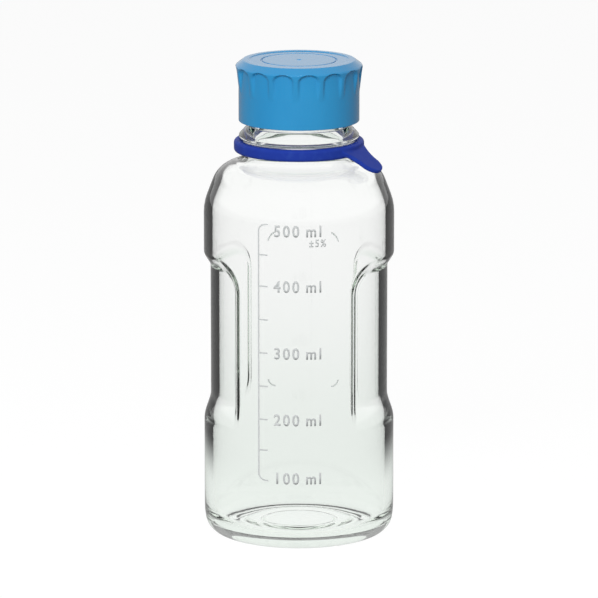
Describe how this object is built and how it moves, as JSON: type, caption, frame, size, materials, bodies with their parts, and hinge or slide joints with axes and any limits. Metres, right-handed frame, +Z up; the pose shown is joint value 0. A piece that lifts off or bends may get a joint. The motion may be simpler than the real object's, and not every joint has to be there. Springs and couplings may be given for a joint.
{
  "type": "reagent bottle",
  "caption": "Clear glass laboratory reagent bottle with pressed side grips, a fluted screw cap, a pouring ring and a silicone neck tag.",
  "frame": {"origin": "centre of the foot, on the surface that the bottle stands on", "axes": "+Z up along the bottle's axis, -Y the front with the graduation scale, +X to the right"},
  "size_m": [0.078, 0.078, 0.1971],
  "materials": {
    "clear_glass": "clear, smooth, very slightly green in depth",
    "ring_plastic": "moulded, smooth",
    "cap_plastic": "moulded, satin",
    "seal_silicone": "smooth, matt",
    "tag_silicone": "moulded, soft satin",
    "enamel": "fired print, matt"
  },
  "bodies": {
    "bottle": {"bottle": "clear_glass", "pouring_ring": "ring_plastic", "graduation_scale": "enamel", "writing_field": "enamel"},
    "seal": {"cap_seal": "seal_silicone"},
    "cap": {"screw_cap": "cap_plastic"},
    "tag": {"neck_tag": "tag_silicone"}
  },
  "joints": [
    {"name": "cap_lift", "type": "slide", "parent": "bottle", "child": "seal", "axis": [0, 0, 1], "range_m": [0, 0.024]},
    {"name": "cap_turn", "type": "hinge", "parent": "seal", "child": "cap", "pos_m": [0, 0, 0.184], "axis": [0, 0, 1], "range_deg": [0, 2160]},
    {"name": "tag_swivel", "type": "hinge", "parent": "bottle", "child": "tag", "pos_m": [0, 0, 0.1618], "axis": [0, 0, 1], "continuous": true}
  ],
  "couplings": [
    {"joint": "cap_lift", "follows": "cap_turn", "m_per_rad": 0.00063661}
  ]
}
